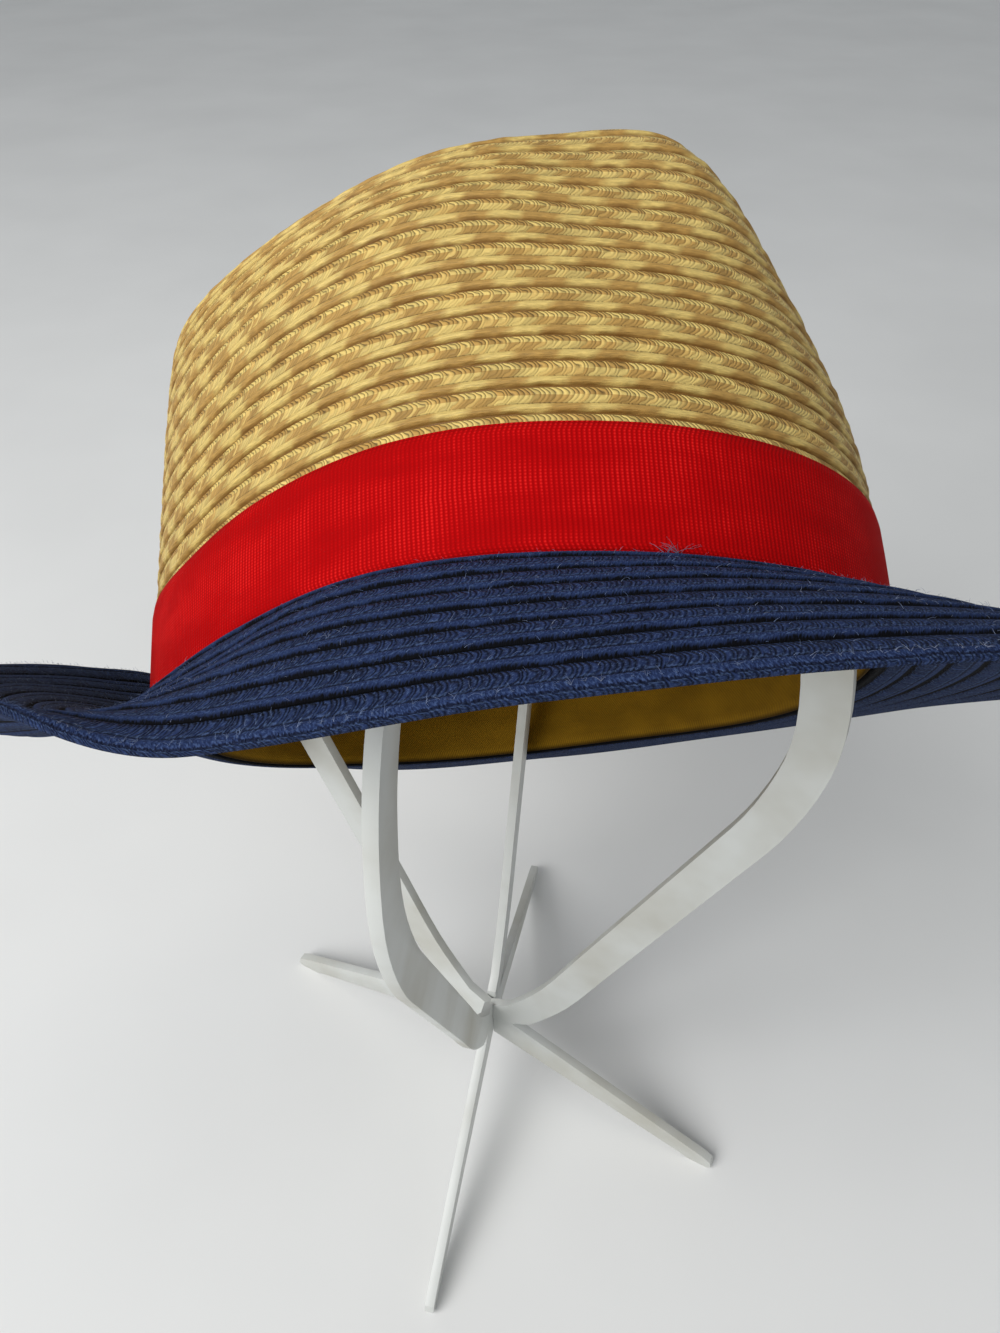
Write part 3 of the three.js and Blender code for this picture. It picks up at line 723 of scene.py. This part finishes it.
def sew_crown(name, turn, rows, edges, material):
    """One shell of crown braid over the given rows: sewn face, foot or seam, plain inside."""
    places, heights = edges
    sheet = Weave(turn)
    foot = np.zeros_like(turn)
    for row in rows:
        free = float(ease(heights[row], RIBBON_TOP - PRESSED_BELOW, RIBBON_TOP + PRESSED_ABOVE))
        relief, rings = PRESSED_RELIEF + (1 - PRESSED_RELIEF) * free, []
        for share, out in CROWN_PROFILE:
            wobble = sway(turn, row, CROWN_DRIFT) * math.sin(math.pi * share)
            place = places[row] + (places[row + 1] - places[row]) * np.clip(share + wobble, 0, 1)
            lift = out * relief + sway(turn, row, CROWN_SWELL)
            if share > ROLL_START:
                lift = lift + sway(turn, row, CROWN_KNOTS, KNOT_WAVES) * relief
            rings.append(crown_out(turn, place, lift))
        sheet.row(rings, [row + share for share, _ in CROWN_PROFILE])
    if np.max(places[rows[-1] + 1]) <= 0.001:
        outer = crown_out(turn, foot, foot - FACE_INSET)
        inner = crown_out(turn, foot, foot - STRAW + RIM_LIFT)
        down = [0, 0, FOOT_SINK]
        sheet.row([outer, outer - down, inner - down], [rows[-1] + share for share in RIM_SHARES])
    for row in reversed(rows):
        span = places[row + 1] - places[row]
        rings = [crown_out(turn, places[row] + span * share, foot - STRAW + INSIDE_LIFT + out)
                 for share, out in CROWN_INSIDE]
        sheet.row(rings, [row + share for share, _ in CROWN_INSIDE])
    if rows[0] > 0:
        return sheet.skin(name, material)
    peak = crown_face(0.0, len(CROWN_LEVELS) - 1.0)
    return sheet.skin(name, material, peak + [0, 0, TIP_LIFT], peak - [0, 0, STRAW])


class TRILBY_OT_crown(bpy.types.Operator):
    """Sew the crown from rows of straw braid"""
    bl_idname = "trilby.crown"
    bl_label = "Straw crown"

    def execute(self, context):
        material = straw_braid()
        for name, columns in (("crown_top", TOP_COLUMNS), ("crown_wall", CROWN_COLUMNS)):
            # Seam at the back of the hat, so that rows start where they are sewn off.
            turn = math.pi + np.arange(columns) * 2 * math.pi / columns
            edges = crown_rows(turn)
            shoulder = int(np.argmin(np.abs(edges[1] - SHOULDER)))
            ends = (0, shoulder) if name == "crown_top" else (shoulder, len(edges[0]) - 1)
            seat(sew_crown(name, turn, list(range(*ends)), edges, material), "tan_straw", "crown")
        return {"FINISHED"}


class BrimSheet:
    """The brim's upper face along every turn, and points on or off it."""

    def __init__(self, turn):
        self.turn = turn
        self.full = BRIM_WIDTH + STRAW
        self.points, slopes, out = brim_lines(turn)
        up = np.array([0.0, 0.0, 1.0])
        sine, cosine = np.sin(slopes)[..., None], np.cos(slopes)[..., None]
        self.normals = cosine * up - sine * out
        self.outward = cosine * out + sine * up

    def face(self, place, lift=0.0, column=None):
        """Points at a distance out from the crown, lifted along the normal."""
        column = np.arange(len(self.turn)) if column is None else column
        place = np.broadcast_to(np.asarray(place, float), column.shape)
        at = np.clip(place, 0, self.full) / self.full * (len(self.points) - 1)
        low = np.clip(np.floor(at).astype(int), 0, len(self.points) - 2)
        mix = (at - low)[..., None]
        point, normal, outward = (
            grid[low, column] * (1 - mix) + grid[low + 1, column] * mix
            for grid in (self.points, self.normals, self.outward))
        normal = unit(normal)
        return point + normal * np.broadcast_to(lift, column.shape)[..., None], normal, unit(outward)


def sew_brim(name, sheet, pitch, material):
    """The brim: sewn upper face, round the rolled edge and back along the underside."""
    turn, full = sheet.turn, sheet.full
    edges = np.arange(full, -pitch, -pitch)[::-1]
    last = len(edges) - 2
    cloth = Weave(turn)
    start = (BRIM_START - edges[0]) / pitch
    for row in range(last + 1):
        rings, downs = [], []
        if row == 0:
            rings, downs = [sheet.face(BRIM_START, -FACE_INSET)[0]], [start]
        for share, out in BRIM_PROFILE:
            wobble = sway(turn, row, BRIM_DRIFT) * math.sin(math.pi * share)
            stretch = EDGE_STRETCH if row == last else 1.0
            place = edges[row] + pitch * (share + wobble) * stretch
            if np.min(place) < INNER_MARGIN or np.max(place) > full - FACE_MARGIN:
                continue
            lift = (out + sway(turn, row, BRIM_SWELL)) * ease(place, *BRIM_PRESSED) - FACE_INSET
            rings.append(sheet.face(place, lift)[0])
            downs.append(row + share)
        if row == last:
            for share, reach, drop in BRIM_EDGE:
                point, _, outward = sheet.face(full, drop)
                rings.append(point + outward * reach)
                downs.append(row + share)
        cloth.row(rings, downs)
    for row in reversed(range(last + 1)):
        rings, downs = [], []
        for share, out in BRIM_UNDERSIDE:
            place = edges[row] + pitch * share
            if INNER_MARGIN < place < full - UNDER_MARGIN:
                rings.append(sheet.face(place, -STRAW - out - sway(turn, row, UNDER_SWELL))[0])
                downs.append(row + share)
        if row == 0:
            rings.append(sheet.face(BRIM_START, -STRAW)[0])
            downs.append(start)
        cloth.row(rings, downs)
    return cloth.skin(name, material)


def loose_hairs(roots, along, lift, reach, thick, rng):
    """Thin tapering three-sided tubes that curl away from their roots."""
    count, steps = len(roots), 4
    bend = rng.normal(0, 0.3, (count, 3))
    side = unit(np.cross(along, lift))
    over = unit(np.cross(along, side))
    t = np.linspace(0, 1, steps)[None, :, None]
    reach = reach[:, None, None]
    middle = (roots[:, None] + along[:, None] * reach * t + bend[:, None] * reach * t * t * HAIR_BEND
              + lift[:, None] * reach * HAIR_ARCH * t * (1.3 - t))
    width = thick[:, None, None] * (1 - HAIR_TAPER * t)
    corners = np.stack([
        middle + (side[:, None] * math.cos(a) + over[:, None] * math.sin(a)) * width
        for a in (0.0, 2 * math.pi / 3, 4 * math.pi / 3)], axis=2)
    faces = []
    for first in range(0, count * steps * 3, steps * 3):
        for a in range(first, first + (steps - 1) * 3, 3):
            faces += [(a + k, a + (k + 1) % 3, a + 3 + (k + 1) % 3, a + 3 + k) for k in range(3)]
        end = first + (steps - 1) * 3
        faces += [(first + 2, first + 1, first), (end, end + 1, end + 2)]
    return corners.reshape(-1, 3), faces


class TRILBY_OT_brim(bpy.types.Operator):
    """Sew the navy brim and its loose fibre"""
    bl_idname = "trilby.brim"
    bl_label = "Navy brim"

    def execute(self, context):
        turn = math.pi + np.arange(BRIM_COLUMNS) * 2 * math.pi / BRIM_COLUMNS
        sheet = BrimSheet(turn)
        pitch = context.scene.trilby_straw.brim_row / MM
        seat(sew_brim("brim_braid", sheet, pitch, navy_braid()), "navy_straw", "brim")
        # Hairs all over the face, along the edge, and one tuft under the ribbon.
        rng = np.random.default_rng(SEED)
        away = np.mod(turn - math.radians(TUFT_TURN) + math.pi, 2 * math.pi) - math.pi
        tuft = int(np.argmin(np.abs(away)))
        parts, faces = [], []
        for count, low, high, spread, reach, thick in HAIRS:
            if spread is None:
                column = rng.integers(0, len(turn), count)
            else:
                column = (tuft + rng.integers(-spread, spread + 1, count)) % len(turn)
            root, normal, outward = sheet.face(rng.uniform(low, high, count), HAIR_LIFT, column)
            angle = rng.uniform(0, 2 * math.pi, count)[:, None]
            along = outward * np.cos(angle) + np.cross(normal, outward) * np.sin(angle)
            along = unit(along + normal * rng.uniform(*HAIR_LEAN, (count, 1)))
            hairs, links = loose_hairs(
                root, along, normal, rng.uniform(*reach, count), rng.uniform(*thick, count), rng)
            offset = sum(len(p) for p in parts)
            faces += [tuple(k + offset for k in f) for f in links]
            parts.append(hairs)
        fibre = add_piece("brim_fibre", to_world(np.concatenate(parts)), faces, lint_hair())
        seat(fibre, "navy_straw")
        return {"FINISHED"}


def cloth_band(name, foot, height, inside, outside, material, steps, ripple):
    """A band of cloth round the wall, between two distances out from its face."""
    turn = math.pi + np.arange(BAND_COLUMNS) * 2 * math.pi / BAND_COLUMNS
    rings, downs = [], []
    shares = np.linspace(1, 0, steps)
    for faced, order in ((outside, shares), (inside, shares[::-1])):
        for share in order:
            edge = min(share, 1 - share) * height
            inward = 1 if faced == outside else -1
            rounded = CUT_ROUND * (1 - float(ease(edge, 0.0, CUT_WIDTH))) * inward
            level = foot + share * height
            wave = sway(turn, steps, (BAND_RIPPLE, ripple), BAND_WAVES) * math.sin(math.pi * share)
            place = crown_places(turn, np.full_like(turn, level) + sway(turn, 0, BAND_DRIFT))
            ring = crown_out(turn, place, faced - rounded + wave)
            # The wall ends at its foot, and the cloth goes on straight below it.
            ring[:, 2] += min(level, 0.0)
            rings.append(ring)
            downs.append(np.full_like(turn, level))
    rings = np.array(rings)
    return skin(name, rings, ring_lengths(rings), np.array(downs), material)


class TRILBY_OT_ribbon(bpy.types.Operator):
    """Pull the red ribbon round the foot of the crown"""
    bl_idname = "trilby.ribbon"
    bl_label = "Ribbon"

    def execute(self, context):
        ribbon = cloth_band(
            "ribbon_band", RIBBON_FOOT, RIBBON_HEIGHT, SEAM, SEAM + CLOTH, grosgrain(),
            steps=14, ripple=0.18)
        seat(ribbon, "red_ribbon", "ribbon")
        return {"FINISHED"}


class TRILBY_OT_sweatband(bpy.types.Operator):
    """Sew the cloth band into the crown"""
    bl_idname = "trilby.sweatband"
    bl_label = "Sweatband"

    def execute(self, context):
        outer = -STRAW - LINING
        band = cloth_band(
            "sweatband_cloth", BAND_FOOT, BAND_HEIGHT, outer - CLOTH, outer, cotton_twill(),
            steps=12, ripple=0.0)
        seat(band, "band_cloth", "sweatband")
        return {"FINISHED"}


class TRILBY_OT_stand(bpy.types.Operator):
    """Round the edges of the two stand frames and give them their plastic"""
    bl_idname = "trilby.stand"
    bl_label = "Display stand"

    def execute(self, context):
        stand = context.scene.trilby_stand
        material = moulded_white()
        for node in ("stand_frame_a", "stand_frame_b"):
            mesh = bpy.data.meshes.new(node + "_plastic")
            shape = bmesh.new()
            shape.from_mesh(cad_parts[node].data)
            bmesh.ops.remove_doubles(shape, verts=shape.verts, dist=MERGE)
            bmesh.ops.dissolve_limit(
                shape, angle_limit=math.radians(FLAT_ANGLE), verts=shape.verts, edges=shape.edges)
            sharp = [e for e in shape.edges if e.calc_face_angle(0.0) > math.radians(ROUND_ANGLE)]
            bmesh.ops.bevel(
                shape, geom=sharp, offset=stand.edge, segments=stand.rounds, profile=0.5,
                affect="EDGES", clamp_overlap=True)
            shape.to_mesh(mesh)
            shape.free()
            mesh.materials.append(material)
            mesh.polygons.foreach_set("use_smooth", [True] * len(mesh.polygons))
            mesh.set_sharp_from_angle(angle=math.radians(SHARP_ANGLE))
            piece = bpy.data.objects.new(node + "_plastic", mesh)
            context.scene.collection.objects.link(piece)
            seat(piece, "white_plastic", node)
        return {"FINISHED"}


class TRILBY_OT_stage(bpy.types.Operator):
    """Lay the pale floor, the soft lights and the camera"""
    bl_idname = "trilby.stage"
    bl_label = "Floor, light and camera"

    def execute(self, context):
        scene = context.scene
        corners = [(x * FLOOR_HALF, y * FLOOR_HALF, 0) for x, y in ((-1, -1), (1, -1), (1, 1), (-1, 1))]
        floor = add_piece("floor", corners, [(0, 1, 2, 3)], pale_top())
        world = bpy.data.worlds.new("soft room")
        world.use_nodes = True
        sky = world.node_tree.nodes["Background"]
        sky.inputs["Color"].default_value = linear(ROOM_COLOUR)
        sky.inputs["Strength"].default_value = ROOM_STRENGTH
        scene.world = world
        aim = Vector(to_world(np.array([0.0, 0.0, AIM_HEIGHT])))
        for name, power, size, place in LIGHTS:
            lamp = bpy.data.lights.new(name, "AREA")
            lamp.energy, lamp.size = power, size
            holder = bpy.data.objects.new(name, lamp)
            holder.location = place
            holder.rotation_euler = (aim - Vector(place)).to_track_quat("-Z", "Y").to_euler()
            scene.collection.objects.link(holder)
        x, y = stand_axis()
        eye = bpy.data.objects.new("camera", bpy.data.cameras.new("camera"))
        eye.data.sensor_fit = "VERTICAL"
        eye.data.sensor_height = SENSOR
        eye.data.lens = SENSOR * FOCAL_PIXELS / PICTURE_HEIGHT
        eye.data.clip_start = 0.01
        eye.location = (x + EYE[0] * MM, y + EYE[1] * MM, EYE[2] * MM)
        eye.rotation_euler = (math.radians(90 - EYE_DOWN), 0, 0)
        scene.collection.objects.link(eye)
        scene.camera = eye
        scene.view_settings.view_transform = "Standard"
        return {"FINISHED"}


class TRILBY_PT_pieces(bpy.types.Panel):
    """The hat's pieces, in the order they are made"""
    bl_idname = "TRILBY_PT_pieces"
    bl_label = "Straw trilby"
    bl_space_type = "VIEW_3D"
    bl_region_type = "UI"
    bl_category = "Trilby"

    def draw(self, context):
        for step in STEPS:
            self.layout.operator(step.bl_idname)
        for group in GROUPS:
            box = self.layout.box()
            for key in group.__annotations__:
                box.prop(getattr(context.scene, GROUPS[group]), key)


GROUPS = {TrilbyStraw: "trilby_straw", TrilbyCloth: "trilby_cloth", TrilbyStand: "trilby_stand"}
STEPS = (TRILBY_OT_crown, TRILBY_OT_brim, TRILBY_OT_ribbon, TRILBY_OT_sweatband, TRILBY_OT_stand,
         TRILBY_OT_stage)


def register():
    for kind in (*GROUPS, *STEPS, TRILBY_PT_pieces):
        bpy.utils.register_class(kind)
    for group, name in GROUPS.items():
        setattr(bpy.types.Scene, name, PointerProperty(type=group))


def unregister():
    for name in GROUPS.values():
        delattr(bpy.types.Scene, name)
    for kind in (TRILBY_PT_pieces, *reversed(STEPS), *reversed(GROUPS)):
        bpy.utils.unregister_class(kind)


def main():
    register()
    bpy.ops.trilby.crown()
    bpy.ops.trilby.brim()
    bpy.ops.trilby.ribbon()
    bpy.ops.trilby.sweatband()
    bpy.ops.trilby.stand()
    bpy.ops.trilby.stage()


if __name__ == "__main__":
    main()
